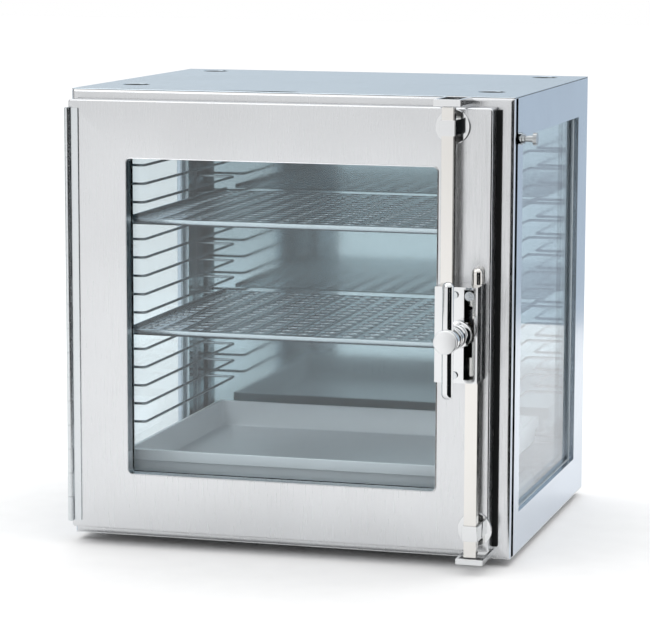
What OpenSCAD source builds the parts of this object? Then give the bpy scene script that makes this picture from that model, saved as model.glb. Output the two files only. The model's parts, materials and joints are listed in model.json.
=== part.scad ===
// Stainless chamber cabinet with a windowed, side-hung door, two side windows, wire shelf
// racks, perforated shelves, a drip tray and a rack-and-pinion bolt latch with a T-handle.
// Design frame: x from the cabinet's left side, y from its front face towards the back,
// z from its underside. placed() moves everything so that the whole object's box is centred
// on the origin in x and y and stands on z = 0.

/* [Cabinet] */
// Outside width
body_w = 480; // [440:5:520]
// Outside depth
body_d = 395; // [370:5:450]
// Outside height
body_h = 480; // [460:5:520]
// Thickness of the outer and inner sheets
sheet = 1.5; // [1:0.1:2]
// Depth of the box-section frame around the doorway
frame_d = 15; // [12:1:20]
// Space from the outer skin to the inner face of a side liner
side_wall = 14.5; // [14:0.5:16]
// Space from the outer skin to the inner face of the back liner
back_wall = 5; // [4:1:20]

/* [Doorway and door] */
// Width of the clear doorway
doorway_w = 400; // [392:2:410]
// Height of the clear doorway
doorway_h = 402; // [392:2:410]
// Height of the doorway's lower edge
doorway_z = 44; // [42:1:48]
// Door's left edge
door_x = 5; // [4:0.5:7]
// Door's width
door_w = 457; // [450:1:460]
// Door's thickness
door_t = 20; // [16:1:24]
// Gap between the door's back and the cabinet
door_gap = 4; // [3:0.5:6]
// Width and height of the window opening in the door
door_window = 336; // [300:2:340]
// Left edge of the window opening
door_window_x = 69; // [66:1:72]
// Lower edge of the window opening
door_window_z = 73; // [70:1:76]

/* [Side windows] */
// Front edge of the window opening
side_win_y = 40; // [38:1:46]
// Length of the window opening along the cabinet's depth
side_win_d = 302; // [260:2:306]
// Lower edge of the window opening
side_win_z = 43; // [42:1:60]
// Height of the window opening
side_win_h = 394; // [340:2:396]
// Thickness of the side panes
pane_t = 5; // [4:0.5:5]

/* [Racks, shelves and tray] */
// Distance between one rung and the next
rung_pitch = 20; // [18:0.5:20]
// Number of rungs for shelves on each side
rung_count = 15; // [8:1:15]
// Height of the top rung
rung_top_z = 395; // [390:1:400]
// Height of the rung that carries the tray
tray_rung_z = 55; // [50:1:58]
// Diameter of the rung wire
rung_dia = 3; // [2.5:0.5:4]
// Distance from the cabinet's side to a rung's long run
rung_reach = 61.5; // [58:0.5:64]
// Which rung the upper shelf lies on, counted from the top
upper_shelf_rung = 4; // [1:1:7]
// Which rung the lower shelf lies on, counted from the top
lower_shelf_rung = 10; // [8:1:15]

/* [Latch] */
// Height of the handle's axis
latch_z = 244.5; // [230:0.5:260]
// Distance of the handle's axis from the cabinet's left side
latch_x = 438; // [436:0.5:440]
// Number of teeth on the pinion
pinion_teeth = 16; // [16:1:16]
// Gear module of the pinion and racks
gear_module = 1; // [1:0.1:1]
// Width of a bolt bar
bar_w = 13; // [12:0.5:13]
// Thickness of a bolt bar
bar_t = 10; // [8:0.5:10]
// Length of the T-handle's cross bar
cross_bar_len = 118; // [100:2:130]
// Diameter of the T-handle's cross bar
cross_bar_dia = 11.5; // [10:0.5:12]

/* [Feet and valve] */
// Height of a rubber foot
foot_h = 8; // [6:0.5:8]
// Diameter of a rubber foot
foot_dia = 26; // [20:1:28]
// Diameter of the stacking cups in the top
cup_dia = 30; // [28:1:32]
// Distance of the valve's axis from the cabinet's front face
valve_y = 18; // [17:0.5:20]
// Height of the valve's axis
valve_z = 437; // [420:1:450]

/* [Hidden] */
$fn = 48;

// gaps between pieces
slip = 0.4;          // between pieces that move past each other
fit = 0.05;          // radial clearance of a shaft in its bore

// door planes
door_back = -door_gap;
door_front = door_back - door_t;
door_z0 = 12;
door_h = body_h - door_z0 - 10;
door_x1 = door_x + door_w;
door_z1 = door_z0 + door_h;
doorway_x = (body_w - doorway_w) / 2;
door_window_x1 = door_window_x + door_window;
door_window_z1 = door_window_z + door_window;
door_skin = 1.2;

// chamber planes
back_face = body_d - back_wall;
floor_top = doorway_z - 4;
ceiling_under = doorway_z + doorway_h + 1;

// side window build-up
lip_d = 5;
pane_gasket = 1.5;
pane_margin = 10;
pane_x0 = lip_d + pane_gasket;
pane_x1 = pane_x0 + pane_t;

// racks
post_w = 12;
post_t = 3;
rung_y0 = 54;
rung_y1 = 370;
rung_r = rung_dia / 2;
shelf_t = 1.2;
shelf_edge_x = 51;
shelf_y0 = 38;
shelf_y1 = 372;
shelf_lip = 6;
shelf_fold = 4.5;
tray_edge_x = 45;
tray_rim = 4;
tray_y1 = 363;
tray_h = 31;

// hinge
hinge_r = 3;
hinge_pin_r = 1.5;
hinge_x = door_x;
hinge_y = door_front - hinge_r - 0.3;
hinge_z0 = 19;
hinge_len = body_h - 2 * hinge_z0;
knuckle_count = 17;
knuckle = hinge_len / knuckle_count;
hinge_leaf_w = 11;
leaf_t = 1.5;

// latch
pitch_r = pinion_teeth * gear_module / 2;
tooth_pitch = PI * gear_module;
backlash = 0.34;
addendum = 0.8 * gear_module;
dedendum = 1.2 * gear_module;
bar_y0 = door_front - 24;
bar_y1 = bar_y0 + bar_t;
upper_bar_x = 421;
lower_bar_x = 448;
cover_x0 = 412.5;
cover_x1 = 457;
cover_z0 = 194;
cover_z1 = 292;
cover_y = door_front - 38;
cover_t = 1.6;
base_t = 2;
spindle_r = 5;
hub_y = cover_y - 1;
hub_end = door_front - 100;
cap_t = 3;
cross_bar_y = hub_end + 13;
keeper_h = 7;
keeper_t = 3;
keeper_w = 28.5;
keeper_y = bar_y0 - 4;
top_keeper_z = body_h - keeper_h;
bottom_keeper_z = 4;
guide_z_top = 451;
guide_z_bottom = 36;
guide_h = 16;
guide_r = 18;
guide_wall = 1.7;
stub_r = 6;
stub_x = lower_bar_x + 1.5;
stub_y = door_front - 8.5;
stub_top = cover_z1 + 17;

// feet and stacking cups
foot_x = 43;
foot_y0 = 84;
foot_y1 = 360;
cup_d = 3;

// valve
valve_reach = 19.5;

// the whole object's box
all_x1 = body_w + valve_reach;
mid_x = all_x1 / 2;
mid_y = (hub_end + body_d) / 2;

steel = "gainsboro";
bright = "whitesmoke";
shade = "lightslategray";

// ---- shared shapes ----

module placed() {
    translate([-mid_x, -mid_y, foot_h]) children();
}

// a block given by its low and high corners
module block(low, high) {
    translate(low) cube(high - low);
}

// round bars along each axis, from a start point over a length
module bar_along_x(start, r, len) {
    translate(start) rotate([0, 90, 0]) cylinder(r = r, h = len);
}

module bar_along_y(start, r, len) {
    translate(start) rotate([-90, 0, 0]) cylinder(r = r, h = len);
}

module bar_along_z(start, r, len) {
    translate(start) cylinder(r = r, h = len);
}

// a flat ring in the x-z plane, between two y planes
module ring_xz(low, high, inner_low, inner_high, y0, y1) {
    difference() {
        block([low[0], y0, low[1]], [high[0], y1, high[1]]);
        block([inner_low[0], y0 - 1, inner_low[1]], [inner_high[0], y1 + 1, inner_high[1]]);
    }
}

// a flat ring in the y-z plane, between two x planes
module ring_yz(low, high, inner_low, inner_high, x0, x1) {
    difference() {
        block([x0, low[0], low[1]], [x1, high[0], high[1]]);
        block([x0 - 1, inner_low[0], inner_low[1]], [x1 + 1, inner_high[0], inner_high[1]]);
    }
}

// the same shape on the cabinet's other side
module other_side() {
    translate([body_w, 0, 0]) mirror([1, 0, 0]) children();
}

// ---- cabinet ----

module front_frame() {
    color(bright) placed() difference() {
        ring_xz([0, 0], [body_w, body_h], [doorway_x, doorway_z],
            [doorway_x + doorway_w, doorway_z + doorway_h], 0, frame_d);
        // hollow of the folded section, open towards the outer panels
        difference() {
            block([-1, sheet, -1], [body_w + 1, frame_d - sheet, body_h + 1]);
            block([doorway_x - sheet, 0, doorway_z - sheet],
                [doorway_x + doorway_w + sheet, frame_d, doorway_z + doorway_h + sheet]);
        }
        // the outer panels close around the back of the section
        difference() {
            block([-1, sheet, -1], [body_w + 1, frame_d + 1, body_h + 1]);
            block([sheet, 0, sheet], [body_w - sheet, frame_d + 2, body_h - sheet]);
        }
        // the valve's stem passes the rear web
        bar_along_x([body_w - 40, valve_y, valve_z], 7, 50);
    }
}

module top_panel() {
    color("lightsteelblue") placed() difference() {
        union() {
            block([0, sheet, body_h - sheet], [body_w, body_d, body_h]);
            for (x = [foot_x, body_w - foot_x], y = [foot_y0, foot_y1])
                bar_along_z([x, y, body_h - cup_d - sheet], cup_dia / 2 + sheet, cup_d + sheet);
        }
        for (x = [foot_x, body_w - foot_x], y = [foot_y0, foot_y1])
            bar_along_z([x, y, body_h - cup_d], cup_dia / 2, cup_d + 1);
    }
}

module bottom_panel() {
    color(steel) placed() difference() {
        block([0, sheet, 0], [body_w, body_d, sheet]);
        for (x = [foot_x, body_w - foot_x], y = [foot_y0, foot_y1])
            bar_along_z([x, y, -1], 2.5, sheet + 2);
    }
}

module back_panel() {
    color(steel) placed()
        block([0, body_d - sheet, sheet], [body_w, body_d, body_h - sheet]);
}

// outer side sheet with the window opening and its return lip
module side_panel(extra_hole) {
    difference() {
        union() {
            block([0, sheet, sheet], [sheet, body_d - sheet, body_h - sheet]);
            block([0, side_win_y - sheet, side_win_z - sheet],
                [lip_d, side_win_y + side_win_d + sheet, side_win_z + side_win_h + sheet]);
        }
        block([-1, side_win_y, side_win_z],
            [lip_d + 1, side_win_y + side_win_d, side_win_z + side_win_h]);
        if (extra_hole)
            bar_along_x([-1, valve_y, valve_z], 3.5, 4);
    }
}

module left_side_panel() {
    color("lightsteelblue") placed() side_panel(false);
}

module right_side_panel() {
    color("lightsteelblue") placed() other_side() side_panel(true);
}

module chamber_floor() {
    color(shade) placed()
        block([side_wall, frame_d, floor_top - sheet], [body_w - side_wall, back_face, floor_top]);
}

module chamber_ceiling() {
    color(shade) placed()
        block([side_wall, frame_d, ceiling_under],
            [body_w - side_wall, back_face, ceiling_under + sheet]);
}

module back_liner() {
    color(shade) placed()
        block([side_wall - sheet, back_face, floor_top - sheet],
            [body_w - side_wall + sheet, back_face + sheet, ceiling_under + sheet]);
}

module side_liner() {
    ring_yz([frame_d, floor_top - sheet], [back_face, ceiling_under + sheet],
        [side_win_y, side_win_z], [side_win_y + side_win_d, side_win_z + side_win_h],
        side_wall - sheet, side_wall);
}

module left_liner() {
    color(shade) placed() side_liner();
}

module right_liner() {
    color(shade) placed() other_side() side_liner();
}

module side_pane() {
    block([pane_x0, side_win_y - pane_margin, side_win_z - pane_margin + 1],
        [pane_x1, side_win_y + side_win_d + pane_margin,
            side_win_z + side_win_h + pane_margin - 1]);
}

module left_window_pane() {
    color("paleturquoise", 0.4) placed() side_pane();
}

module right_window_pane() {
    color("paleturquoise", 0.4) placed() other_side() side_pane();
}

// rubber channel around the edge of a side pane
module side_gasket() {
    difference() {
        ring_yz([side_win_y - pane_margin - 2, side_win_z - pane_margin - 1],
            [side_win_y + side_win_d + pane_margin + 2, side_win_z + side_win_h + pane_margin + 1],
            [side_win_y, side_win_z], [side_win_y + side_win_d, side_win_z + side_win_h],
            lip_d, side_wall - sheet);
        side_pane();
    }
}

module left_window_gasket() {
    color("dimgray") placed() side_gasket();
}

module right_window_gasket() {
    color("dimgray") placed() other_side() side_gasket();
}

// ---- racks, shelves and tray ----

// one bent wire: a leg from each post and the long run between them
module rung(z) {
    leg = rung_reach - side_wall - post_t;
    for (y = [rung_y0, rung_y1]) {
        bar_along_x([side_wall + post_t, y, z], rung_r, leg);
        translate([rung_reach, y, z]) sphere(r = rung_r);
    }
    bar_along_y([rung_reach, rung_y0, z], rung_r, rung_y1 - rung_y0);
}

module rack_posts() {
    for (y = [rung_y0, rung_y1])
        block([side_wall, y - post_w / 2, floor_top],
            [side_wall + post_t, y + post_w / 2, ceiling_under]);
}

module rungs() {
    for (i = [0:rung_count - 1])
        rung(rung_top_z - i * rung_pitch);
    rung(tray_rung_z);
}

module left_rack_posts() {
    color("silver") placed() rack_posts();
}

module right_rack_posts() {
    color("silver") placed() other_side() rack_posts();
}

module left_rungs() {
    color("silver") placed() rungs();
}

module right_rungs() {
    color("silver") placed() other_side() rungs();
}

// a shelf sheet with a folded front edge and upturned sides
module shelf(rung_number) {
    z = rung_top_z - (rung_number - 1) * rung_pitch + rung_r;
    block([shelf_edge_x, shelf_y0, z], [body_w - shelf_edge_x, shelf_y1, z + shelf_t]);
    block([shelf_edge_x, shelf_y0, z - shelf_fold + shelf_t],
        [body_w - shelf_edge_x, shelf_y0 + shelf_t, z]);
    for (x = [shelf_edge_x, body_w - shelf_edge_x - shelf_t])
        block([x, shelf_y0, z + shelf_t], [x + shelf_t, shelf_y1, z + shelf_lip]);
}

module shelf_upper() {
    color("silver") placed() shelf(upper_shelf_rung);
}

module shelf_lower() {
    color("silver") placed() shelf(lower_shelf_rung);
}

module drip_tray() {
    z = tray_rung_z + rung_r;
    x0 = tray_edge_x + tray_rim;
    x1 = body_w - x0;
    color("silver") placed() difference() {
        union() {
            block([x0, shelf_y0 + tray_rim, z], [x1, tray_y1 - tray_rim, z + tray_h]);
            block([x0 - tray_rim, shelf_y0, z + tray_h - shelf_t],
                [x1 + tray_rim, tray_y1, z + tray_h]);
        }
        block([x0 + shelf_t, shelf_y0 + tray_rim + shelf_t, z + shelf_t],
            [x1 - shelf_t, tray_y1 - tray_rim - shelf_t, z + tray_h + 1]);
    }
}

// ---- feet ----

module at_feet() {
    for (x = [foot_x, body_w - foot_x], y = [foot_y0, foot_y1])
        translate([x, y, 0]) children();
}

module rubber_feet() {
    color("dimgray") placed() at_feet() difference() {
        translate([0, 0, -foot_h]) cylinder(r = foot_dia / 2, h = foot_h);
        translate([0, 0, -foot_h - 1]) cylinder(r = 5, h = foot_h / 2 + 1);
        translate([0, 0, -foot_h]) cylinder(r = 2.5, h = foot_h + 1);
    }
}

module foot_screws() {
    color("silver") placed() at_feet() {
        translate([0, 0, -foot_h / 2 - 2.5]) cylinder(r = 4.5, h = 2.5);
        translate([0, 0, -foot_h / 2]) cylinder(r = 2.5, h = foot_h / 2 + sheet + 3);
        translate([0, 0, sheet]) cylinder(r = 4.5, h = 3, $fn = 6);
    }
}

// ---- hinge ----

// the knuckles of one leaf: every second one, from the given start
module knuckles(first) {
    for (i = [first:2:knuckle_count - 1])
        bar_along_z([hinge_x, hinge_y, hinge_z0 + i * knuckle + slip / 2], hinge_r,
            knuckle - slip);
}

module hinge_pin_hole() {
    bar_along_z([hinge_x, hinge_y, hinge_z0 - 1], hinge_pin_r + fit, hinge_len + 2);
}

module hinge_body_leaf() {
    color("silver") placed() difference() {
        union() {
            knuckles(0);
            // the leaf runs back past the door's edge and turns onto the frame's face
            block([hinge_x - hinge_r, hinge_y, hinge_z0],
                [hinge_x - hinge_r + leaf_t, 0, hinge_z0 + hinge_len]);
            block([hinge_x - hinge_r, -leaf_t, hinge_z0],
                [hinge_x + 6, 0, hinge_z0 + hinge_len]);
        }
        // room for the door leaf's knuckles
        for (i = [1:2:knuckle_count - 1])
            block([hinge_x - hinge_r - 1, hinge_y - hinge_r - 1, hinge_z0 + i * knuckle - slip / 2],
                [hinge_x + hinge_r + 1, hinge_y + hinge_r + slip,
                    hinge_z0 + (i + 1) * knuckle + slip / 2]);
        hinge_pin_hole();
    }
}

module hinge_door_leaf() {
    color("silver") placed() difference() {
        union() {
            knuckles(1);
            block([hinge_x, door_front - leaf_t, hinge_z0],
                [hinge_x + hinge_leaf_w, door_front, hinge_z0 + hinge_len]);
        }
        // room for the body leaf's knuckles
        for (i = [0:2:knuckle_count - 1])
            block([hinge_x - hinge_r - 1, hinge_y - hinge_r - 1, hinge_z0 + i * knuckle - slip / 2],
                [hinge_x + hinge_r + slip, hinge_y + hinge_r + 1,
                    hinge_z0 + (i + 1) * knuckle + slip / 2]);
        hinge_pin_hole();
    }
}

module hinge_pin() {
    color("silver") placed()
        bar_along_z([hinge_x, hinge_y, hinge_z0 - 0.5], hinge_pin_r, hinge_len + 1);
}

// ---- door ----

// window stack in the door's back: gasket, pane, then a retainer screwed on from behind
glaze_edge = 8;
reveal = 14.5;
gasket_t = 1.3;
door_pane_t = 4;
door_gasket_y = door_front + reveal;
door_pane_y0 = door_gasket_y + gasket_t;
door_pane_y1 = door_pane_y0 + door_pane_t;
retainer_w = 10;
retainer_t = 1.2;
screw_offset = glaze_edge + retainer_w / 2 + 1;

function grow(low, d) = [low[0] - d, low[1] - d];
win_low = [door_window_x, door_window_z];
win_high = [door_window_x1, door_window_z1];

module door_outer_pan() {
    color(bright) placed() difference() {
        union() {
            difference() {
                block([door_x, door_front, door_z0], [door_x1, door_back - door_skin, door_z1]);
                block([door_x + door_skin, door_front + door_skin, door_z0 + door_skin],
                    [door_x1 - door_skin, 0, door_z1 - door_skin]);
            }
            // return lip around the window opening, turned out at its end to carry the gasket
            ring_xz(grow(win_low, door_skin), grow(win_high, -door_skin), win_low, win_high,
                door_front, door_gasket_y);
            ring_xz(grow(win_low, glaze_edge), grow(win_high, -glaze_edge), win_low, win_high,
                door_gasket_y - door_skin, door_gasket_y);
        }
        block([door_window_x, door_front - 1, door_window_z], [door_window_x1, 0, door_window_z1]);
        bar_along_y([latch_x, door_front - 1, latch_z], spindle_r + 1, 4);
    }
}

module door_inner_pan() {
    color(bright) placed() difference() {
        ring_xz([door_x, door_z0], [door_x1, door_z1], grow(win_low, glaze_edge + 1),
            grow(win_high, -glaze_edge - 1), door_back - door_skin, door_back);
        at_retainer_screws() bar_along_y([0, door_back - 3, 0], 1.5, 4);
    }
}

module door_window_gasket() {
    color("dimgray") placed() ring_xz(grow(win_low, glaze_edge), grow(win_high, -glaze_edge),
        win_low, win_high, door_gasket_y, door_pane_y0);
}

module door_window_pane() {
    color("paleturquoise", 0.4) placed()
        block([door_window_x - glaze_edge, door_pane_y0, door_window_z - glaze_edge],
            [door_window_x1 + glaze_edge, door_pane_y1, door_window_z1 + glaze_edge]);
}

module at_retainer_screws() {
    xs = [win_low[0] - screw_offset, win_high[0] + screw_offset];
    zs = [win_low[1] - screw_offset, win_high[1] + screw_offset];
    mid = [for (i = [0:3]) (i + 0.5) / 4];
    for (m = mid, x = xs)
        translate([x, 0, win_low[1] + m * door_window]) children();
    for (m = mid, z = zs)
        translate([win_low[0] + m * door_window, 0, z]) children();
}

module door_window_retainer() {
    out = glaze_edge + 1 + retainer_w;
    color("silver") placed() difference() {
        union() {
            ring_xz(grow(win_low, out), grow(win_high, -out), win_low, win_high,
                door_back, door_back + retainer_t);
            // step that presses on the pane's edge
            ring_xz(grow(win_low, glaze_edge), grow(win_high, -glaze_edge), win_low, win_high,
                door_pane_y1, door_back + retainer_t);
        }
        at_retainer_screws() bar_along_y([0, door_back - 1, 0], 1.5, retainer_t + 2);
    }
}

module retainer_screws() {
    color("silver") placed() at_retainer_screws() {
        bar_along_y([0, door_back + retainer_t, 0], 2.8, 1.2);
        bar_along_y([0, door_back - 3, 0], 1.5, retainer_t + 3);
    }
}

// compression seal on the frame's face; its right side stands out past the door's edge
seal_w = 15;
seal_x0 = 12;
seal_x1 = door_x1 + 5;
seal_z0 = 14;
seal_z1 = 467;

module door_seal() {
    color("black") placed() ring_xz([seal_x0, seal_z0], [seal_x1, seal_z1],
        [seal_x0 + seal_w, seal_z0 + seal_w], [seal_x1 - seal_w, seal_z1 - seal_w],
        door_back + slip, 0);
}

// ---- latch, fixed pieces ----

module latch_base_plate() {
    color("silver") placed() difference() {
        block([cover_x0, door_front - base_t, cover_z0], [cover_x1, door_front, cover_z1]);
        bar_along_y([latch_x, door_front - 5, latch_z], spindle_r + 1, 10);
    }
}

slot_x0 = 443;
slot_x1 = 453.5;
bush_r = 8;

module latch_cover() {
    color(bright) placed() difference() {
        block([cover_x0, cover_y, cover_z0], [cover_x1, door_front - base_t, cover_z1]);
        block([cover_x0 + cover_t, cover_y + cover_t, cover_z0 + cover_t],
            [cover_x1 - cover_t, door_front, cover_z1 - cover_t]);
        // way in for the upper bar
        block([upper_bar_x - bar_w / 2 - slip, bar_y0 - slip, cover_z1 - cover_t - 1],
            [upper_bar_x + bar_w / 2 + slip, bar_y1 + slip, cover_z1 + 1]);
        // way out for the lower bar and for its stub above
        block([lower_bar_x - bar_w / 2 - slip, bar_y0 - slip, cover_z0 - 1],
            [lower_bar_x + bar_w / 2 + slip, bar_y1 + slip, cover_z0 + cover_t + 1]);
        bar_along_z([stub_x, stub_y, cover_z1 - cover_t - 1], stub_r + slip, cover_t + 2);
        // slot over the lower rack, narrower where it passes the front bush
        block([latch_x + bush_r + 1, cover_y - 1, cover_z0 + 3.5],
            [slot_x1, cover_y + cover_t + 1, cover_z1 - 2.5]);
        for (z = [[cover_z0 + 3.5, latch_z - 12], [latch_z + 12, cover_z1 - 2.5]])
            block([slot_x0, cover_y - 1, z[0]], [slot_x1, cover_y + cover_t + 1, z[1]]);
        bar_along_y([latch_x, cover_y - 1, latch_z], bush_r, cover_t + 2);
        at_cover_screws() bar_along_y([0, cover_y - 1, 0], 2, cover_t + 2);
    }
}

module at_cover_screws() {
    for (z = [cover_z0 + 8, cover_z1 - 8])
        translate([latch_x - 5, 0, z]) children();
}

// cap screws through the cover into the base plate
module latch_cover_screws() {
    color("silver") placed() at_cover_screws() {
        bar_along_y([0, cover_y - 3, 0], 3.8, 3);
        bar_along_y([0, cover_y, 0], 2, door_front - base_t - cover_y);
    }
}

module spindle_front_bush() {
    color("goldenrod") placed() difference() {
        union() {
            bar_along_y([latch_x, cover_y, latch_z], bush_r, cover_t);
            bar_along_y([latch_x, cover_y + cover_t, latch_z], bush_r - 1, 1.6);
        }
        bar_along_y([latch_x, cover_y - 1, latch_z], spindle_r + fit, cover_t + 4);
    }
}

rear_bush_len = 4;

module spindle_rear_bush() {
    color("goldenrod") placed() difference() {
        union() {
            bar_along_y([latch_x, door_front - base_t - rear_bush_len, latch_z], bush_r,
                rear_bush_len);
            bar_along_y([latch_x, door_front - base_t, latch_z], spindle_r + 1, base_t);
        }
        bar_along_y([latch_x, door_front - 10, latch_z], spindle_r + fit, 20);
    }
}

// round foot with a bridge around the bar
module bar_guide(x, z) {
    half = bar_w / 2;
    difference() {
        union() {
            bar_along_y([x, door_front - 2.5, z], guide_r, 2.5);
            block([x - half - guide_wall, bar_y0 - guide_wall - slip, z - guide_h / 2],
                [x + half + guide_wall, door_front, z + guide_h / 2]);
        }
        block([x - half - slip, bar_y0 - slip, z - guide_h],
            [x + half + slip, bar_y1 + slip, z + guide_h]);
    }
}

module top_bar_guide() {
    color("silver") placed() bar_guide(upper_bar_x, guide_z_top);
}

module bottom_bar_guide() {
    color("silver") placed() bar_guide(lower_bar_x, guide_z_bottom);
}

// strap loop that stands out from the frame's rim
module keeper(x, z) {
    difference() {
        block([x - keeper_w / 2, keeper_y, z], [x + keeper_w / 2, 0, z + keeper_h]);
        block([x - keeper_w / 2 + keeper_t, keeper_y + keeper_t, z - 1],
            [x + keeper_w / 2 - keeper_t, -keeper_t, z + keeper_h + 1]);
    }
}

module top_keeper() {
    color("silver") placed() keeper(upper_bar_x, top_keeper_z);
}

module bottom_keeper() {
    color("silver") placed() intersection() {
        keeper(lower_bar_x, bottom_keeper_z);
        block([0, -100, bottom_keeper_z], [body_w, 0, bottom_keeper_z + 6]);
    }
}

// ---- latch, moving pieces ----

base_r = pitch_r * cos(20);

// involute angle at a radius, in degrees
function inv_angle(r) = let (a = acos(base_r / r)) tan(a) * 180 / PI - a;
half_tooth = 90 / pinion_teeth - backlash / 2 / pitch_r * 180 / PI;
flank_steps = 5;
function flank_r(i) = base_r + 0.01 + (pitch_r + addendum - base_r - 0.01) * i / flank_steps;
function flank_a(r) = half_tooth + inv_angle(pitch_r) - inv_angle(r);
root_r = pitch_r - dedendum;

function tooth_points(a) = concat(
    [[root_r, a - flank_a(base_r + 0.01)]],
    [for (i = [0:flank_steps]) [flank_r(i), a - flank_a(flank_r(i))]],
    [for (i = [flank_steps:-1:0]) [flank_r(i), a + flank_a(flank_r(i))]],
    [[root_r, a + flank_a(base_r + 0.01)]]
);

// a tooth space faces each rack, so that the racks' teeth stand in mesh at rest
module pinion_outline() {
    points = [for (k = [0:pinion_teeth - 1], p = tooth_points((k + 0.5) * 360 / pinion_teeth))
        [p[0] * cos(p[1]), p[0] * sin(p[1])]];
    polygon(points);
}

module pinion() {
    color("silver") placed() difference() {
        translate([latch_x, bar_y1, latch_z]) rotate([90, 0, 0])
            linear_extrude(bar_t) pinion_outline();
        bar_along_y([latch_x, bar_y0 - 1, latch_z], spindle_r, bar_t + 2);
    }
}

// rack teeth along z from z0 upwards, on a pitch line at x, pointing to +x when side is 1
module rack_teeth(x, side, z0, count) {
    slope = tan(20);
    half = tooth_pitch / 4 - backlash / 2;
    root = half + dedendum * slope;
    tip = half - addendum * slope;
    for (i = [0:count - 1])
        translate([x, bar_y1, z0 + i * tooth_pitch]) rotate([90, 0, 0]) linear_extrude(bar_t)
            polygon([[-side * dedendum, -root], [side * addendum, -tip], [side * addendum, tip],
                [-side * dedendum, root]]);
}

upper_pitch_x = latch_x - pitch_r;
lower_pitch_x = latch_x + pitch_r;
teeth_below = 6;
upper_rack_teeth = 10;
lower_rack_teeth = 11;
upper_tail = latch_z - (teeth_below + 0.5) * tooth_pitch;

module upper_bar() {
    color("linen") placed() block([upper_bar_x - bar_w / 2, bar_y0, upper_tail],
        [upper_bar_x + bar_w / 2, bar_y1, top_keeper_z - 1]);
}

module upper_rack() {
    z0 = latch_z - teeth_below * tooth_pitch;
    color("silver") placed() {
        block([upper_bar_x + bar_w / 2, bar_y0, upper_tail],
            [upper_pitch_x - dedendum, bar_y1, upper_tail + upper_rack_teeth * tooth_pitch]);
        rack_teeth(upper_pitch_x, 1, z0, upper_rack_teeth);
    }
}

lower_rack_x = lower_pitch_x + dedendum + 1.3;
lower_shoulder = latch_z - 26;
bar_head_z = cover_z1 - 21;
bar_head_top = cover_z1 - 3.5;
guide_screw_z = cover_z1 - 9;
slot_mid = (slot_x0 + slot_x1) / 2;

module lower_bar() {
    color("linen") placed() difference() {
        lower_bar_solid();
        bar_along_y([slot_mid, bar_y0 - 1, guide_screw_z], 2.5, 5);
    }
}

module lower_bar_solid() {
    union() {
        block([lower_bar_x - bar_w / 2, bar_y0, bottom_keeper_z + 7],
            [lower_bar_x + bar_w / 2, bar_y1, lower_shoulder]);
        // beside the pinion the bar narrows and carries the rack
        block([lower_rack_x, bar_y0, lower_shoulder], [lower_bar_x + bar_w / 2, bar_y1, bar_head_z]);
        block([lower_bar_x - bar_w / 2 + 1, bar_y0, bar_head_z],
            [lower_bar_x + bar_w / 2, stub_y + 2, bar_head_top]);
        // round upper end, seen above the cover
        bar_along_z([stub_x, stub_y, bar_head_top], stub_r - 0.5,
            stub_top - stub_r + 0.5 - bar_head_top);
        translate([stub_x, stub_y, stub_top - stub_r + 0.5]) sphere(r = stub_r - 0.5);
    }
}

// stud in the lower bar whose round head runs in the cover's upper slot
module guide_screw() {
    color("silver") placed() {
        bar_along_y([slot_mid, bar_y0 - 9, guide_screw_z], 2.5, 13);
        bar_along_y([slot_mid, cover_y + 0.6, guide_screw_z], 4.85, bar_y0 - 8 - cover_y - 0.6);
    }
}

module lower_rack() {
    z0 = latch_z - 3 * tooth_pitch;
    color("silver") placed() {
        block([lower_pitch_x + dedendum, bar_y0, z0 - tooth_pitch / 2],
            [lower_rack_x, bar_y1, z0 + (lower_rack_teeth - 0.5) * tooth_pitch]);
        rack_teeth(lower_pitch_x, -1, z0, lower_rack_teeth);
    }
}

spindle_tip = hub_y - 27;

module handle_spindle() {
    color("silver") placed()
        bar_along_y([latch_x, spindle_tip, latch_z], spindle_r, door_front - spindle_tip);
}

module spindle_circlip() {
    color("dimgray") placed() difference() {
        bar_along_y([latch_x, door_front - base_t - rear_bush_len - 1.8, latch_z], 7.5, 1.2);
        bar_along_y([latch_x, door_front - 20, latch_z], spindle_r, 20);
    }
}

// turned hub: a base collar, a waist with a middle ring and an end barrel
module handle_hub() {
    barrel = 35;
    color(bright) placed() difference() {
        union() {
            bar_along_y([latch_x, hub_y - 5, latch_z], 14, 5);
            bar_along_y([latch_x, hub_end + barrel, latch_z], 10.5, hub_y - 4 - hub_end - barrel);
            bar_along_y([latch_x, hub_y - 20, latch_z], 12, 3);
            bar_along_y([latch_x, hub_end + cap_t, latch_z], 12, barrel);
        }
        bar_along_y([latch_x, spindle_tip, latch_z], spindle_r, 60);
        bar_along_z([latch_x, cross_bar_y, latch_z - 20], cross_bar_dia / 2, 40);
    }
}

module hub_end_cap() {
    color("white") placed() bar_along_y([latch_x, hub_end, latch_z], 12, cap_t);
}

module handle_cross_bar() {
    r = cross_bar_dia / 2;
    color(bright) placed() {
        bar_along_z([latch_x, cross_bar_y, latch_z - cross_bar_len / 2 + r], r,
            cross_bar_len - 2 * r);
        for (z = [latch_z - cross_bar_len / 2 + r, latch_z + cross_bar_len / 2 - r])
            translate([latch_x, cross_bar_y, z]) sphere(r = r);
    }
}

// ---- purge valve ----

module valve_body() {
    color("silver") placed() difference() {
        union() {
            bar_along_x([body_w, valve_y, valve_z], 6.5, 4);
            bar_along_x([body_w + 4, valve_y, valve_z], 5, 3);
            bar_along_x([body_w - 9, valve_y, valve_z], 3.4, 9);
        }
        // port for the needle
        bar_along_x([body_w - 10, valve_y, valve_z], 1.5, 12);
        bar_along_x([body_w - 1, valve_y, valve_z], 2.3, 10);
    }
}

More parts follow.
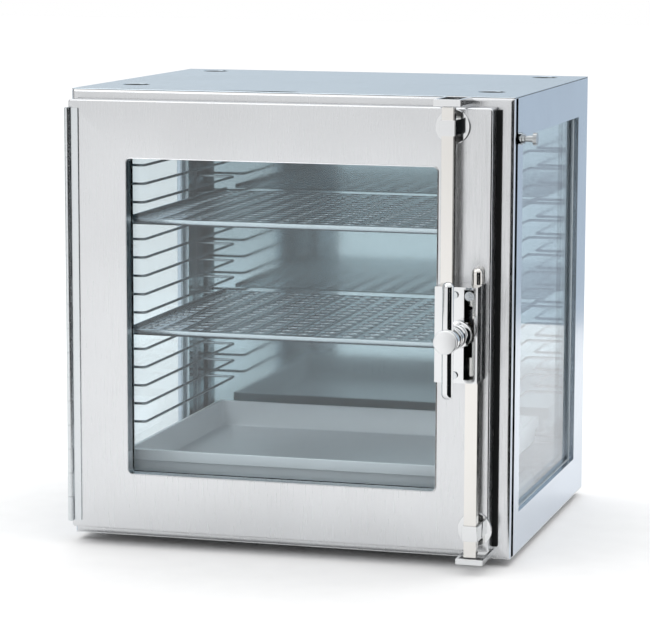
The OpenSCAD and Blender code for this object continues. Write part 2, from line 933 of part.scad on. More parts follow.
module valve_wall_seal() {
    color("black") placed() difference() {
        bar_along_x([body_w - sheet - 1, valve_y, valve_z], 6, 1);
        bar_along_x([body_w - sheet - 2, valve_y, valve_z], 3.4, 3);
    }
}

module valve_lock_nut() {
    color("silver") placed() difference() {
        bar_along_x([body_w - sheet - 5, valve_y, valve_z], 6, 4, $fn = 6);
        bar_along_x([body_w - sheet - 6, valve_y, valve_z], 3.4, 6);
    }
}

// needle stem with a grooved knob on its end
module valve_knob() {
    knob_x = body_w + valve_reach - 4;
    color("silver") placed() difference() {
        union() {
            bar_along_x([body_w + 0.5, valve_y, valve_z], 2.25, knob_x - body_w - 0.5);
            bar_along_x([body_w + 7.5, valve_y, valve_z], 3.4, knob_x - body_w - 7.5);
            bar_along_x([knob_x, valve_y, valve_z], 6.5, 4);
        }
        for (a = [0:30:330])
            translate([0, valve_y, valve_z]) rotate([a, 0, 0])
                bar_along_x([knob_x - 1, 0, 7.1], 1.1, 6);
    }
}

front_frame();
top_panel();
bottom_panel();
back_panel();
left_side_panel();
right_side_panel();
chamber_floor();
chamber_ceiling();
back_liner();
left_liner();
right_liner();
left_window_pane();
right_window_pane();
left_window_gasket();
right_window_gasket();
left_rack_posts();
right_rack_posts();
left_rungs();
right_rungs();
shelf_upper();
shelf_lower();
drip_tray();
rubber_feet();
foot_screws();
hinge_body_leaf();
hinge_pin();
top_keeper();
bottom_keeper();
valve_body();
valve_wall_seal();
valve_lock_nut();
valve_knob();
door_outer_pan();
door_inner_pan();
door_window_gasket();
door_window_pane();
door_window_retainer();
retainer_screws();
door_seal();
hinge_door_leaf();
latch_base_plate();
latch_cover();
latch_cover_screws();
spindle_front_bush();
spindle_rear_bush();
top_bar_guide();
bottom_bar_guide();
handle_spindle();
pinion();
spindle_circlip();
handle_hub();
hub_end_cap();
handle_cross_bar();
upper_bar();
upper_rack();
lower_bar();
lower_rack();
guide_screw();
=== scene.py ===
"""Looks for the stainless chamber cabinet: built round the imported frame, in metres, in the row frame.

The cabinet stands on Z = 0 with its door towards -Y. Pieces take their places from the frame's nodes.
"""
import json
import math

import bmesh
import bpy
from mathutils import Matrix, Vector

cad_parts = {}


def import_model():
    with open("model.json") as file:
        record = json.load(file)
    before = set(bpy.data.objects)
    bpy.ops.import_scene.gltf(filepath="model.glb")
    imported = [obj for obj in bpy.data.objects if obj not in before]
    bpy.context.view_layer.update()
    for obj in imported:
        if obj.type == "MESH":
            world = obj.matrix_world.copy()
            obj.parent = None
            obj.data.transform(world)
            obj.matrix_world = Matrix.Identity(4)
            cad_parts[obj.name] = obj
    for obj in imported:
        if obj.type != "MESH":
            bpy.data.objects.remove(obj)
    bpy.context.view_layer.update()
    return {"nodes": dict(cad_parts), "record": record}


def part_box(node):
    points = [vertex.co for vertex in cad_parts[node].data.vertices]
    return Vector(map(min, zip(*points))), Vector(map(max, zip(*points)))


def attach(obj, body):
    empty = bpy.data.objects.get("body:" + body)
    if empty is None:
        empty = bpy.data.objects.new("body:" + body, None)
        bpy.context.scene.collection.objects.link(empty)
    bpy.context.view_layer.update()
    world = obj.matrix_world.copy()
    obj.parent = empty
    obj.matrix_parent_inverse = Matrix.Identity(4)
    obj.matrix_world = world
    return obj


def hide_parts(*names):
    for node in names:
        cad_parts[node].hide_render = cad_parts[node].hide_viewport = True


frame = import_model()
NODES = frame["nodes"]
MM = 0.001
NEAR = 1e-6                            # points closer than this are one point
FLAT_JOIN = math.radians(30)           # folds below this angle shade as one surface
SOFT_JOIN = math.radians(35)
WIRE_JOIN = math.radians(60)


# ---------------------------------------------------------------- camera

CAMERA_PLACE = (0.8346, -2.9568, 0.6740)
CAMERA_YAW = math.radians(15.22)       # turned to the left of straight ahead
CAMERA_PITCH = math.radians(8.29)      # looking down
CAMERA_ROLL = math.radians(0.25)
LENS_MM = 157.1
SENSOR_MM = 36
SHIFT = (-0.0527, 0.0214)


def add_camera():
    data = bpy.data.cameras.new("camera")
    data.sensor_width = SENSOR_MM
    data.lens = LENS_MM
    data.shift_x, data.shift_y = SHIFT
    data.clip_end = 60
    camera = bpy.data.objects.new("camera", data)
    turn = Matrix.Rotation(CAMERA_YAW, 4, "Z") @ Matrix.Rotation(math.pi / 2 - CAMERA_PITCH, 4, "X")
    camera.matrix_world = Matrix.Translation(CAMERA_PLACE) @ turn @ Matrix.Rotation(CAMERA_ROLL, 4, "Z")
    bpy.context.scene.collection.objects.link(camera)
    bpy.context.scene.camera = camera


# ---------------------------------------------------------------- materials

def new_material(name):
    """An empty node material and its Principled shader."""
    material = bpy.data.materials.new(name)
    material.use_nodes = True
    return material, material.node_tree.nodes["Principled BSDF"]


def noise_of(material, scale, stretch=(1, 1, 1), detail=3.0):
    """A noise texture in object space, stretched along the axes."""
    nodes, links = material.node_tree.nodes, material.node_tree.links
    place = nodes.new("ShaderNodeTexCoord")
    mapping = nodes.new("ShaderNodeMapping")
    mapping.inputs["Scale"].default_value = stretch
    noise = nodes.new("ShaderNodeTexNoise")
    noise.inputs["Scale"].default_value = scale
    noise.inputs["Detail"].default_value = detail
    links.new(place.outputs["Object"], mapping.inputs["Vector"])
    links.new(mapping.outputs["Vector"], noise.inputs["Vector"])
    return noise


def vary(material, noise, socket, low, high):
    """Drives a number socket from a noise, between two values."""
    nodes, links = material.node_tree.nodes, material.node_tree.links
    spread = nodes.new("ShaderNodeMapRange")
    spread.inputs["From Min"].default_value = 0.3
    spread.inputs["From Max"].default_value = 0.7
    spread.inputs["To Min"].default_value = low
    spread.inputs["To Max"].default_value = high
    links.new(noise.outputs["Fac"], spread.inputs["Value"])
    links.new(spread.outputs["Result"], socket)


def tint(material, noise, socket, dark, light):
    """Drives a colour socket from a noise, between two colours."""
    nodes, links = material.node_tree.nodes, material.node_tree.links
    ramp = nodes.new("ShaderNodeValToRGB")
    ramp.color_ramp.elements[0].position = 0.3
    ramp.color_ramp.elements[0].color = (*dark, 1)
    ramp.color_ramp.elements[1].position = 0.7
    ramp.color_ramp.elements[1].color = (*light, 1)
    links.new(noise.outputs["Fac"], ramp.inputs["Fac"])
    links.new(ramp.outputs["Color"], socket)


def roughen(material, shader, noise, strength, distance):
    """Bump from a noise."""
    nodes, links = material.node_tree.nodes, material.node_tree.links
    bump = nodes.new("ShaderNodeBump")
    bump.inputs["Strength"].default_value = strength
    bump.inputs["Distance"].default_value = distance
    links.new(noise.outputs["Fac"], bump.inputs["Height"])
    links.new(bump.outputs["Normal"], shader.inputs["Normal"])


def shaded(color, share):
    return tuple(c * share for c in color)


def steel(name, color, rough, grain=(1, 1, 1), spread=0.05, waviness=0.00002, metal=1.0):
    """Sheet or bar steel: cloudy tone, grain that runs along the short numbers of grain, faint waviness."""
    material, shader = new_material(name)
    shader.inputs["Metallic"].default_value = metal
    clouds = noise_of(material, 9.0, detail=2.0)
    tint(material, clouds, shader.inputs["Base Color"], shaded(color, 0.94), color)
    lines = noise_of(material, 900.0, stretch=grain, detail=3.0)
    vary(material, lines, shader.inputs["Roughness"], rough - spread, rough + spread)
    waves = noise_of(material, 14.0, detail=1.0)
    roughen(material, shader, waves, 0.3, waviness)
    return material


def paint_shade_below(material, height, share):
    """Painted shade: dims the base colour of faces that lie under a height, such as the floors of pressed
    cups, to stand in for the shade inside them.
    """
    nodes, links = material.node_tree.nodes, material.node_tree.links
    socket = nodes["Principled BSDF"].inputs["Base Color"]
    color = socket.links[0].from_socket
    place = nodes.new("ShaderNodeTexCoord")
    split = nodes.new("ShaderNodeSeparateXYZ")
    level = nodes.new("ShaderNodeMapRange")
    level.inputs["From Min"].default_value = height - 0.0003
    level.inputs["From Max"].default_value = height
    level.inputs["To Min"].default_value = share
    level.inputs["To Max"].default_value = 1.0
    scale = nodes.new("ShaderNodeVectorMath")
    scale.operation = "SCALE"
    links.new(place.outputs["Object"], split.inputs["Vector"])
    links.new(split.outputs["Z"], level.inputs["Value"])
    links.new(color, scale.inputs[0])
    links.new(level.outputs["Result"], scale.inputs["Scale"])
    links.new(scale.outputs["Vector"], socket)


def rubber(name, color, rough):
    material, shader = new_material(name)
    shader.inputs["Specular IOR Level"].default_value = 0.25
    grain = noise_of(material, 900.0, detail=2.0)
    tint(material, grain, shader.inputs["Base Color"], shaded(color, 0.7), color)
    vary(material, grain, shader.inputs["Roughness"], rough - 0.08, rough + 0.08)
    roughen(material, shader, grain, 0.3, 0.0001)
    return material


def clear_glass(name, color, head_on=0.04):
    """A thin pane: lets light straight through and mirrors more at a slant. Faint wipe marks blur it."""
    material = bpy.data.materials.new(name)
    material.use_nodes = True
    nodes, links = material.node_tree.nodes, material.node_tree.links
    nodes.remove(nodes["Principled BSDF"])
    through = nodes.new("ShaderNodeBsdfTransparent")
    through.inputs["Color"].default_value = (*color, 1)
    mirror = nodes.new("ShaderNodeBsdfGlossy")
    mirror.inputs["Color"].default_value = (0.95, 0.97, 1.0, 1)
    marks = noise_of(material, 14.0, stretch=(1, 1, 0.4), detail=4.0)
    vary(material, marks, mirror.inputs["Roughness"], 0.01, 0.05)
    slant = nodes.new("ShaderNodeLayerWeight")
    slant.inputs["Blend"].default_value = 0.5
    power = nodes.new("ShaderNodeMath")
    power.operation = "POWER"
    power.inputs[1].default_value = 5.0
    share = nodes.new("ShaderNodeMath")
    share.operation = "MULTIPLY_ADD"
    share.inputs[1].default_value = 1.0 - head_on
    share.inputs[2].default_value = head_on
    mix = nodes.new("ShaderNodeMixShader")
    links.new(slant.outputs["Facing"], power.inputs[0])
    links.new(power.outputs["Value"], share.inputs[0])
    links.new(share.outputs["Value"], mix.inputs["Fac"])
    links.new(through.outputs["BSDF"], mix.inputs[1])
    links.new(mirror.outputs["BSDF"], mix.inputs[2])
    links.new(mix.outputs["Shader"], nodes["Material Output"].inputs["Surface"])
    return material


def glow(name, color, strength, dim=None):
    """Plain light for a reflection card; with dim it fades to that colour along the card's length."""
    material = bpy.data.materials.new(name)
    material.use_nodes = True
    nodes, links = material.node_tree.nodes, material.node_tree.links
    nodes.remove(nodes["Principled BSDF"])
    light = nodes.new("ShaderNodeEmission")
    light.inputs["Color"].default_value = (*color, 1)
    light.inputs["Strength"].default_value = strength
    if dim:
        place = nodes.new("ShaderNodeTexCoord")
        split = nodes.new("ShaderNodeSeparateXYZ")
        ramp = nodes.new("ShaderNodeValToRGB")
        ramp.color_ramp.elements[0].color = (*color, 1)
        ramp.color_ramp.elements[1].color = (*dim, 1)
        links.new(place.outputs["Generated"], split.inputs["Vector"])
        links.new(split.outputs["X"], ramp.inputs["Fac"])
        links.new(ramp.outputs["Color"], light.inputs["Color"])
    links.new(light.outputs["Emission"], nodes["Material Output"].inputs["Surface"])
    return material


UPRIGHT = (1, 1, 0.03)     # grain that runs up and down
ACROSS = (0.03, 1, 1)      # grain that runs from side to side
INWARD = (1, 0.03, 1)      # grain that runs from front to back

MATERIALS = {
    "cabinet_steel": steel("cabinet_steel", (0.66, 0.67, 0.685), 0.24, UPRIGHT),
    # painted reflection: the side and top steels are bluer copies of the cabinet steel, tinted for the sky
    # that the sides and top reflect
    "side_steel_painted_reflection": steel("side_steel_painted_reflection", (0.60, 0.66, 0.74), 0.22, UPRIGHT),
    "top_steel": steel("top_steel", (0.58, 0.65, 0.70), 0.22, INWARD),
    # painted shade and reflection: the liner steel is a darker, blue-green copy of the cabinet steel,
    # standing in for the chamber's shaded, mirrored inside
    "liner_steel": steel("liner_steel", (0.44, 0.53, 0.56), 0.10, UPRIGHT, 0.03, 0.00001),
    "shelf_steel": steel("shelf_steel", (0.62, 0.67, 0.70), 0.20, ACROSS),
    # painted light: the tray steel's bright, part-metal base colour stands in for light falling on the
    # tray's front band; its rougher finish is the tray's own
    "tray_steel": steel("tray_steel", (0.86, 0.88, 0.90), 0.38, ACROSS, metal=0.35),
    "rack_wire": steel("rack_wire", (0.30, 0.34, 0.36), 0.18, (1, 1, 1), 0.04),
    "latch_chrome": steel("latch_chrome", (0.72, 0.73, 0.74), 0.10, UPRIGHT, 0.03, 0.00001),
    "satin_cap": steel("satin_cap", (0.84, 0.85, 0.86), 0.5, (1, 1, 1), 0.04),
    "dark_gear": steel("dark_gear", (0.16, 0.17, 0.18), 0.34, UPRIGHT),
    "bolt_steel": steel("bolt_steel", (0.74, 0.725, 0.70), 0.12, UPRIGHT, 0.03),
    "fastener_steel": steel("fastener_steel", (0.66, 0.69, 0.71), 0.24, (1, 1, 1)),
    "valve_metal": steel("valve_metal", (0.40, 0.42, 0.43), 0.10, (1, 1, 1), 0.04),
    "bush_brass": steel("bush_brass", (0.72, 0.52, 0.24), 0.24, (1, 1, 1)),
    "seal_rubber": rubber("seal_rubber", (0.004, 0.005, 0.005), 0.75),
    "pale_silicone": rubber("pale_silicone", (0.62, 0.68, 0.72), 0.45),
    "foot_rubber": rubber("foot_rubber", (0.03, 0.03, 0.032), 0.6),
    "window_glass": clear_glass("window_glass", (0.94, 0.97, 0.98)),
}
SPECIAL = {
    # the side and back panels take the blue-tinted side steel, a painted reflection
    "left_side_panel": "side_steel_painted_reflection", "right_side_panel": "side_steel_painted_reflection", "back_panel": "side_steel_painted_reflection",
    "pinion": "dark_gear", "upper_rack": "dark_gear", "lower_rack": "dark_gear",
    "left_window_gasket": "pale_silicone", "right_window_gasket": "pale_silicone",
}


# painted shade: the floors of the top panel's pressed cups are darkened to stand in for their shade
paint_shade_below(MATERIALS["top_steel"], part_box("top_panel")[1][2] - 0.4 * MM, 0.12)


# ---------------------------------------------------------------- mesh helpers

def add_object(name, mesh, material, smooth_below=SOFT_JOIN):
    piece = bpy.data.objects.new(name, mesh)
    bpy.context.scene.collection.objects.link(piece)
    mesh.materials.append(MATERIALS[material])
    mesh.shade_smooth()
    mesh.set_sharp_from_angle(angle=smooth_below)
    return piece


def mesh_from(name, bm):
    bmesh.ops.remove_doubles(bm, verts=bm.verts, dist=NEAR)
    bmesh.ops.recalc_face_normals(bm, faces=bm.faces)
    mesh = bpy.data.meshes.new(name)
    bm.to_mesh(mesh)
    bm.free()
    return mesh


def arc(centre, radius, start, end, steps):
    """Points round a centre in the plane, from one angle to another, in degrees."""
    angles = [math.radians(start + (end - start) * i / steps) for i in range(steps + 1)]
    return [(centre[0] + radius * math.cos(a), centre[1] + radius * math.sin(a)) for a in angles]


def bridge(bm, rings):
    """Faces between each closed ring of points and the next one."""
    count = len(rings[0])
    for one, two in zip(rings, rings[1:]):
        for i in range(count):
            j = (i + 1) % count
            bm.faces.new((one[i], one[j], two[j], two[i]))


def lathe(name, profile, axis_point, direction, material, segments=64):
    """Turns (radius, distance along the axis) points round an axis."""
    bm = bmesh.new()
    along = Vector(direction).normalized()
    side = along.orthogonal().normalized()
    up = along.cross(side)
    rings = []
    for radius, distance in profile:
        centre = Vector(axis_point) + along * distance
        ring = []
        for i in range(segments):
            angle = 2 * math.pi * i / segments
            out = side * math.cos(angle) + up * math.sin(angle)
            ring.append(bm.verts.new(centre + out * max(radius, 1e-7)))
        rings.append(ring)
    bridge(bm, rings)
    return add_object(name, mesh_from(name, bm), material)


def sweep(bm, points, radius, sides):
    """Adds a round bar along points that lie level, with flat ends."""
    points = [Vector(p) for p in points]
    rings = []
    up = Vector((0, 0, 1))
    for i, point in enumerate(points):
        before = points[max(i - 1, 0)]
        after = points[min(i + 1, len(points) - 1)]
        along = (after - before).normalized()
        side = along.cross(up).normalized()
        across = side.cross(along)
        ring = []
        for k in range(sides):
            angle = 2 * math.pi * k / sides
            out = side * math.cos(angle) + across * math.sin(angle)
            ring.append(bm.verts.new(point + radius * out))
        rings.append(ring)
    bridge(bm, rings)
    bm.faces.new(rings[0][::-1])
    bm.faces.new(rings[-1])


def rounded_rectangle(low, high, radius, steps=6):
    """Points round a rectangle in the plane with rounded corners."""
    x0, z0 = low
    x1, z1 = high
    r = max(radius, 1e-5)
    centres = ((x1 - r, z0 + r), (x1 - r, z1 - r), (x0 + r, z1 - r), (x0 + r, z0 + r))
    points = []
    for centre, start in zip(centres, (-90, 0, 90, 180)):
        points += arc(centre, r, start, start + 90, steps)
    return points


def upright_ring(low, high, grow, radius, y):
    """Points round an upright rectangle at a depth, grown on all sides."""
    flat = rounded_rectangle((low[0] - grow, low[1] - grow), (high[0] + grow, high[1] + grow), radius)
    return [(x, y, z) for x, z in flat]


def rounded_over(radius, steps):
    """(inset, depth) pairs over a rounded edge, from the side to the face."""
    angles = [math.radians(90 * i / steps) for i in range(steps + 1)]
    return [(radius * (1 - math.cos(a)), radius * (1 - math.sin(a))) for a in angles]


def strip(name, rings, material):
    """Joins closed rings of equal length, each a list of points, into one skin."""
    bm = bmesh.new()
    bridge(bm, [[bm.verts.new(p) for p in ring] for ring in rings])
    return add_object(name, mesh_from(name, bm), material, FLAT_JOIN)


def soften(node, width, material):
    """Gives a CAD node's edges a small round and its material."""
    piece = NODES[node]
    weld = piece.modifiers.new("weld", "WELD")
    weld.merge_threshold = NEAR
    flat = piece.modifiers.new("flat", "DECIMATE")
    flat.decimate_type = "DISSOLVE"
    flat.angle_limit = math.radians(0.5)
    bevel = piece.modifiers.new("edges", "BEVEL")
    bevel.width = width
    bevel.segments = 2
    bevel.limit_method = "ANGLE"
    bevel.angle_limit = math.radians(40)
    bevel.use_clamp_overlap = True
    coat(node, material)


def coat(node, material):
    piece = NODES[node]
    piece.data.materials.clear()
    piece.data.materials.append(MATERIALS[material])


# ---------------------------------------------------------------- door

def door_front():
    """The door's outer pan: rounded outer edges and a rounded lip round the window."""
    low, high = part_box("door_outer_pan")
    pane_low, pane_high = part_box("door_window_pane")
    skin = 1.2 * MM
    pane_cover = 8 * MM                 # how far the lip's flange covers the pane
    lip_end = pane_low[1] - 1.3 * MM    # in front of the pane by its gasket
    corner, window_corner = 3 * MM, 4.5 * MM
    win_low = (pane_low[0] + pane_cover, pane_low[2] + pane_cover)
    win_high = (pane_high[0] - pane_cover, pane_high[2] - pane_cover)
    front, back = low[1], high[1]

    def outer(inset, y):
        return upright_ring((low[0], low[2]), (high[0], high[2]), -inset, corner - inset * 0.5, y)

    def inner(grow, y):
        return upright_ring(win_low, win_high, grow, window_corner + grow, y)

    lip_round = 1.2 * MM
    rings = [outer(skin, back), outer(0, back)]
    rings += [outer(inset, front + depth) for inset, depth in rounded_over(1.8 * MM, 5)]
    rings += [inner(lip_round - inset, front + depth) for inset, depth in rounded_over(lip_round, 5)]
    rings += [inner(0, lip_end), inner(pane_cover, lip_end), inner(pane_cover, lip_end - skin),
              inner(skin, lip_end - skin), inner(skin, front + skin * 2),
              outer(skin * 2, front + skin * 2), outer(skin, back)]
    pan = strip("door_front_pan", rings, "cabinet_steel")
    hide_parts("door_outer_pan")
    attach(pan, "door")


# ---------------------------------------------------------------- front frame

FRAME_SIDE = 40 * MM       # the frame's face beside, under and over the doorway
FRAME_FOOT = 44 * MM
FRAME_HEAD = 34 * MM


def frame_front():
    """The folded frame round the doorway: wide rounds outside, small ones at the opening."""
    low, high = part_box("front_frame")
    way_low = (low[0] + FRAME_SIDE, low[2] + FRAME_FOOT)
    way_high = (high[0] - FRAME_SIDE, high[2] - FRAME_HEAD)
    corner, way_corner = 1.2 * MM, 2 * MM
    front, back = low[1], high[1]

    def outer(inset, y):
        return upright_ring((low[0], low[2]), (high[0], high[2]), -inset, corner, y)

    def inner(grow, y):
        return upright_ring(way_low, way_high, grow, way_corner + grow, y)

    way_round = 1.2 * MM
    rings = [outer(0, back)]
    rings += [outer(inset, front + depth) for inset, depth in rounded_over(4.5 * MM, 6)]
    rings += [inner(way_round - inset, front + depth)
              for inset, depth in reversed(rounded_over(way_round, 6))]
    rings += [inner(0, back), outer(0, back)]
    piece = strip("front_frame_folded", rings, "cabinet_steel")
    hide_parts("front_frame")
    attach(piece, "cabinet")


# ---------------------------------------------------------------- racks and shelves

RUNG_BEND = 4.5 * MM
RUNG_BEND_STEPS = 6
RUNG_SPACING = 20 * MM
RUNG_RADIUS = 1.5 * MM
SHELF_RUNGS = 15


def rung_heights(low, high):
    """Heights of a side's wires: the tray's, then every pitch down from the top one."""
    top = high[2] - RUNG_RADIUS
    heights = [top - RUNG_SPACING * i for i in range(SHELF_RUNGS)]
    return heights + [low[2] + RUNG_RADIUS]


def bent_rungs(node, wall_x, run_x):
    """Staple wires with bent corners, in place of the node's straight ones."""
    low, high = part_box(node)
    y0, y1 = low[1] + RUNG_RADIUS, high[1] - RUNG_RADIUS
    way = 1 if run_x > wall_x else -1
    corner_x = run_x - way * RUNG_BEND
    bends = [(y0 + RUNG_BEND, arc((0, 0), RUNG_BEND, -90, 0, RUNG_BEND_STEPS)),
             (y1 - RUNG_BEND, arc((0, 0), RUNG_BEND, 0, 90, RUNG_BEND_STEPS))]
    bm = bmesh.new()
    for z in rung_heights(low, high):
        points = [(wall_x, y0, z)]
        for corner_y, turn in bends:
            points += [(corner_x + way * dx, corner_y + dy, z) for dx, dy in turn]
        points.append((wall_x, y1, z))
        sweep(bm, points, RUNG_RADIUS, 10)
    piece = add_object(node + "_bent", mesh_from(node + "_bent", bm), "rack_wire", WIRE_JOIN)
    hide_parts(node)
    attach(piece, "cabinet")


HOLE_RADIUS = 5.5 * MM
HOLES = 15                 # each way across a shelf
HOLE_STEPS = 6             # points on a quarter of a hole's rim
SHELF_SHEET = 1.2 * MM
SHELF_LIP = 4.8 * MM       # rise of the side lips above the sheet
SHELF_MARGIN = 4 * MM


def pierced_sheet(bm, low, high, z):
    """A flat sheet with a grid of round holes, one cell at a time, and a plain margin."""
    x0, x1 = low[0] + SHELF_MARGIN, high[0] - SHELF_MARGIN
    y0, y1 = low[1] + SHELF_MARGIN, high[1] - SHELF_MARGIN
    dx, dy = (x1 - x0) / HOLES, (y1 - y0) / HOLES
    corners = [(1, -1), (1, 1), (-1, 1), (-1, -1)]
    for i in range(HOLES):
        for j in range(HOLES):
            cx, cy = x0 + dx * (i + 0.5), y0 + dy * (j + 0.5)
            cell = [bm.verts.new((cx + sx * dx / 2, cy + sy * dy / 2, z)) for sx, sy in corners]
            circle = arc((cx, cy), HOLE_RADIUS, -45, 315, HOLE_STEPS * 4)[:-1]
            rim = [bm.verts.new((x, y, z)) for x, y in circle]
            for k in range(4):
                inner = [rim[(k * HOLE_STEPS + m) % len(rim)] for m in range(HOLE_STEPS + 1)]
                bm.faces.new([cell[k], cell[(k + 1) % 4]] + inner[::-1])
    frame_x = [low[0]] + [x0 + dx * i for i in range(HOLES + 1)] + [high[0]]
    frame_y = [low[1]] + [y0 + dy * j for j in range(HOLES + 1)] + [high[1]]
    for i in range(len(frame_x) - 1):
        for j in range(len(frame_y) - 1):
            if 0 < i < len(frame_x) - 2 and 0 < j < len(frame_y) - 2:
                continue
            box = [(frame_x[i], frame_y[j]), (frame_x[i + 1], frame_y[j]),
                   (frame_x[i + 1], frame_y[j + 1]), (frame_x[i], frame_y[j + 1])]
            bm.faces.new([bm.verts.new((x, y, z)) for x, y in box])


def perforated_shelf(node):
    """The shelf's sheet with its holes, front fold and raised sides as one skin, thickened."""
    low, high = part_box(node)
    sheet_z = high[2] - SHELF_LIP
    bm = bmesh.new()
    pierced_sheet(bm, low, high, sheet_z)
    bmesh.ops.remove_doubles(bm, verts=bm.verts, dist=NEAR)
    # each edge that is folded: its two ends, and the height that it is drawn out to
    folds = (((low[0], low[1]), (low[0], high[1]), high[2]),
             ((high[0], low[1]), (high[0], high[1]), high[2]),
             ((low[0], low[1]), (high[0], low[1]), low[2]))
    for start, end, z_end in folds:
        edges = [e for e in bm.edges if e.is_boundary and all(
            start[0] - NEAR <= v.co.x <= end[0] + NEAR and
            start[1] - NEAR <= v.co.y <= end[1] + NEAR and
            abs(v.co.z - sheet_z) < NEAR for v in e.verts)]
        grown = bmesh.ops.extrude_edge_only(bm, edges=edges)["geom"]
        for vert in [g for g in grown if isinstance(g, bmesh.types.BMVert)]:
            vert.co.z = z_end
    mesh = mesh_from(node + "_pierced", bm)
    piece = add_object(node + "_pierced", mesh, "shelf_steel")
    thick = piece.modifiers.new("sheet", "SOLIDIFY")
    thick.thickness = SHELF_SHEET
    thick.offset = -1
    thick.use_even_offset = True
    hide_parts(node)
    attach(piece, "cabinet")


def tray():
    """The drip tray: flat rim, folded front band and a pan with rounded corners, as one skin."""
    low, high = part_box("drip_tray")
    top, bottom = high[2], low[2]
    pan_top = bottom + 1.2 * MM        # one sheet above the underside
    band_end = top - 12 * MM           # the band is folded down this far

    # inset and corner radius in millimetres, then height
    inside = [(0.3, 2, top), (4, 4, top), (4.5, 4, top - 0.6 * MM), (5, 5, bottom + 4 * MM),
              (6.2, 6, bottom + 1.8 * MM), (8.5, 6, pan_top), (60, 6, pan_top), (130, 6, pan_top)]
    outside = [(130, 6, bottom), (8, 6, bottom), (5, 6, bottom + 1.2 * MM), (3.6, 5, bottom + 4 * MM),
               (3.3, 4, band_end), (0.4, 3, band_end), (0, 3, band_end + 0.5 * MM),
               (0, 2, top - 0.4 * MM), (0.3, 2, top)]

    bm = bmesh.new()
    skins = []
    for outline in (inside, outside):
        rings = []
        for inset, radius, z in outline:
            near = (low[0] + inset * MM, low[1] + inset * MM)
            far = (high[0] - inset * MM, high[1] - inset * MM)
            rings.append([bm.verts.new((x, y, z)) for x, y in rounded_rectangle(near, far, radius * MM)])
        skins.append(rings)
    for rings in skins:
        bridge(bm, rings)
    bm.faces.new(skins[0][-1])
    bm.faces.new(skins[1][0][::-1])
    piece = add_object("drip_tray_pan", mesh_from("drip_tray_pan", bm), "tray_steel", FLAT_JOIN)
    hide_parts("drip_tray")
    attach(piece, "cabinet")


# ---------------------------------------------------------------- handle

# radius, then distance from the cap's face, in millimetres
CAP_PROFILE = [(0, 0), (11.2, 0), (12, 0.8), (12, 3), (0, 3)]
BARREL_PROFILE = [
    (5, 3), (12, 3), (12, 5.5), (11.2, 6.0), (11.2, 7.0), (12, 7.5), (12, 21), (11.2, 21.5),
    (11.2, 22.5), (12, 23), (12, 27), (11.2, 27.5), (11.2, 28.5), (12, 29), (12, 37), (11, 38),
    (10.2, 38.5), (10.2, 41), (12, 42), (12, 45), (10.2, 46), (10.2, 55), (13.2, 56), (14, 57),
]


def in_metres(profile):
    return [(radius * MM, distance * MM) for radius, distance in profile]


def fillet(profile, radius):
    """Breaks each corner of a turned profile with a small flat."""
    out = [profile[0]]
    for before, corner, after in zip(profile, profile[1:], profile[2:]):
        for other in (before, after):
            span = Vector(other) - Vector(corner)
            step = min(radius, span.length * 0.4)
            point = Vector(corner) + span.normalized() * step
            out.append((point.x, point.y))
    out.append(profile[-1])
    return out


def hub():
    """The turned hub: satin end disc, grooved barrel, slim waist with a ring, and a base collar."""
    low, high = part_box("handle_hub")
    cap_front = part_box("hub_end_cap")[0][1]
    start = ((low[0] + high[0]) / 2, cap_front, (low[2] + high[2]) / 2)
    length = high[1] - cap_front
    cap = lathe("hub_cap_turned", fillet(in_metres(CAP_PROFILE), 0.3 * MM), start, (0, 1, 0), "satin_cap")
    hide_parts("hub_end_cap")
    collar_end = [(14 * MM, length - 0.6 * MM), (13.4 * MM, length), (5 * MM, length)]
    profile = fillet(in_metres(BARREL_PROFILE) + collar_end, 0.35 * MM)
    barrel = lathe("handle_hub_turned", profile, start, (0, 1, 0), "latch_chrome")
    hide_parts("handle_hub")
    for piece in (cap, barrel):
        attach(piece, "handle")


def cross_bar():
    """The T-handle's bar, with round ends."""
    low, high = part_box("handle_cross_bar")
    radius = (high[0] - low[0]) / 2
    centre = ((low[0] + high[0]) / 2, (low[1] + high[1]) / 2)
    length = high[2] - low[2]
    quarter = [math.radians(90 * i / 8) for i in range(9)]
    profile = [(radius * math.sin(a), radius * (1 - math.cos(a))) for a in quarter]
    profile += [(radius * math.cos(a), length - radius + radius * math.sin(a)) for a in quarter]
    piece = lathe("handle_bar_round", profile, (*centre, low[2]), (0, 0, 1), "latch_chrome", 40)
    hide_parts("handle_cross_bar")
    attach(piece, "handle")


# ---------------------------------------------------------------- CAD nodes that stay

EDGE_ROUND = {
    "top_panel": 0.6, "bottom_panel": 0.4, "back_panel": 0.4, "left_side_panel": 0.5,
    "right_side_panel": 0.5, "chamber_floor": 0.3, "chamber_ceiling": 0.3, "back_liner": 0.3,
    "left_liner": 0.3, "right_liner": 0.3, "left_rack_posts": 0.4, "right_rack_posts": 0.4,
    "top_keeper": 0.5, "bottom_keeper": 0.5, "door_inner_pan": 0.3,
    "door_window_retainer": 0.3, "door_seal": 0.6, "latch_base_plate": 0.4, "latch_cover": 0.6,
    "top_bar_guide": 0.6, "bottom_bar_guide": 0.6, "upper_bar": 0.7, "lower_bar": 0.7,
    "left_window_gasket": 0.3, "right_window_gasket": 0.3, "door_window_gasket": 0.3,
}


def finish_nodes():
    """Materials for every node, and small rounds on the sheet and bar ones."""
    slots = {s["node"]: s["material_slot"] for s in frame["record"]["subparts"]}
    for node in NODES:
        material = SPECIAL.get(node, slots[node])
        if node in EDGE_ROUND:
            soften(node, EDGE_ROUND[node] * MM, material)
        else:
            coat(node, material)


# ---------------------------------------------------------------- stage and light

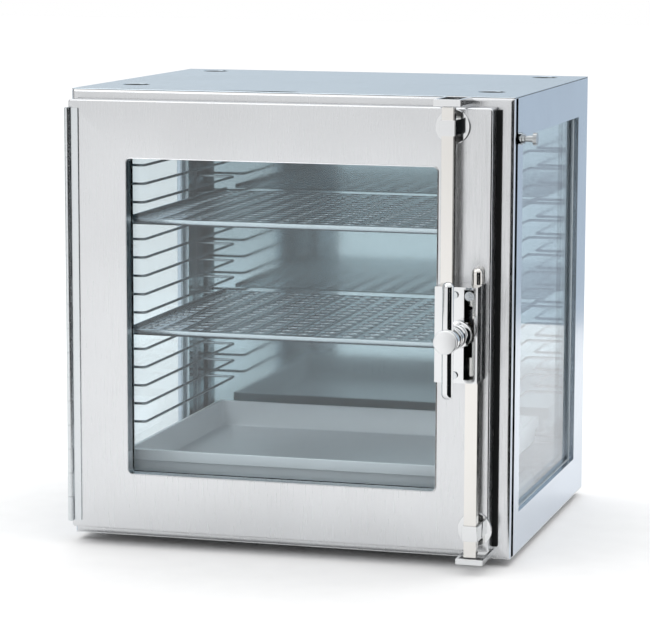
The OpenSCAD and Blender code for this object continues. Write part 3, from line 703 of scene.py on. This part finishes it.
def stage_sheet(name, size, material):
    bm = bmesh.new()
    bmesh.ops.create_grid(bm, x_segments=1, y_segments=1, size=0.5)
    bmesh.ops.scale(bm, vec=(size[0], size[1], 1), verts=bm.verts)
    mesh = bpy.data.meshes.new(name)
    bm.to_mesh(mesh)
    bm.free()
    piece = bpy.data.objects.new(name, mesh)
    bpy.context.scene.collection.objects.link(piece)
    mesh.materials.append(material)
    return piece


def card(name, centre, size, facing, material):
    """A flat sheet that only shows in reflections."""
    piece = stage_sheet(name, size, material)
    turn = Vector(facing).to_track_quat("Z", "Y").to_matrix().to_4x4()
    piece.matrix_world = Matrix.Translation(centre) @ turn
    for way in ("camera", "diffuse", "shadow", "transmission", "volume_scatter"):
        setattr(piece, "visible_" + way, False)


def floor():
    material, shader = new_material("floor")
    paper = noise_of(material, 30.0)
    tint(material, paper, shader.inputs["Base Color"], (0.90, 0.90, 0.90), (0.92, 0.92, 0.92))
    shader.inputs["Roughness"].default_value = 0.9
    shader.inputs["Specular IOR Level"].default_value = 0.1
    piece = stage_sheet("floor", (28, 28), material)


def area_light(name, place, target, size, power, color=(1, 1, 1)):
    data = bpy.data.lights.new(name, "AREA")
    data.shape = "RECTANGLE"
    data.size, data.size_y = size
    data.energy = power
    data.color = color
    light = bpy.data.objects.new(name, data)
    aim = Vector(target) - Vector(place)
    light.matrix_world = Matrix.Translation(place) @ aim.to_track_quat("-Z", "Y").to_matrix().to_4x4()
    bpy.context.scene.collection.objects.link(light)


def world():
    sky = bpy.data.worlds.new("studio")
    sky.use_nodes = True
    back = sky.node_tree.nodes["Background"]
    back.inputs["Color"].default_value = (1.0, 1.0, 1.0, 1)
    back.inputs["Strength"].default_value = 1.0
    bpy.context.scene.world = sky
    bpy.context.scene.view_settings.view_transform = "Standard"


def stage():
    world()
    floor()
    area_light("key", (-1.6, -2.2, 2.6), (0, 0, 0.2), (2.0, 1.4), 14)
    area_light("over", (0.3, 0.6, 2.8), (0, 0.1, 0.2), (2.4, 2.0), 14)
    sun = bpy.data.lights.new("fill_sun", "SUN")
    sun.energy = 0.5
    sun.angle = math.radians(90)
    lamp = bpy.data.objects.new("fill_sun", sun)
    bpy.context.scene.collection.objects.link(lamp)
    blue, pale, dark = (0.42, 0.52, 0.64), (0.80, 0.86, 0.90), (0.006, 0.007, 0.008)
    card("card_back", (0.1, 1.6, 0.7), (4.2, 2.4), (0, -1, 0), glow("card_back", pale, 1.0, blue))
    shadow = glow("card_shadow", dark, 1.0)
    card("card_front_right", (1.35, -2.9, 0.5), (2.0, 1.6), (-0.3, 1, 0), shadow)
    card("card_floor_right", (1.45, -1.7, 0.006), (2.3, 3.2), (0, 0, 1), shadow)
    card("card_right", (2.2, -1.3, 0.4), (2.2, 1.0), (-1, 0, 0), shadow)
    card("card_left", (-2.4, -0.7, 0.9), (0.9, 2.2), (1, 0.2, 0), shadow)


# ---------------------------------------------------------------- build

add_camera()
finish_nodes()
door_front()
frame_front()
for side in ("left", "right"):
    post_low, post_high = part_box(side + "_rack_posts")
    wire_low, wire_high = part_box(side + "_rungs")
    if side == "left":
        bent_rungs("left_rungs", post_high[0], wire_high[0] - RUNG_RADIUS)
    else:
        bent_rungs("right_rungs", post_low[0], wire_low[0] + RUNG_RADIUS)
perforated_shelf("shelf_upper")
perforated_shelf("shelf_lower")
tray()
hub()
cross_bar()
stage()
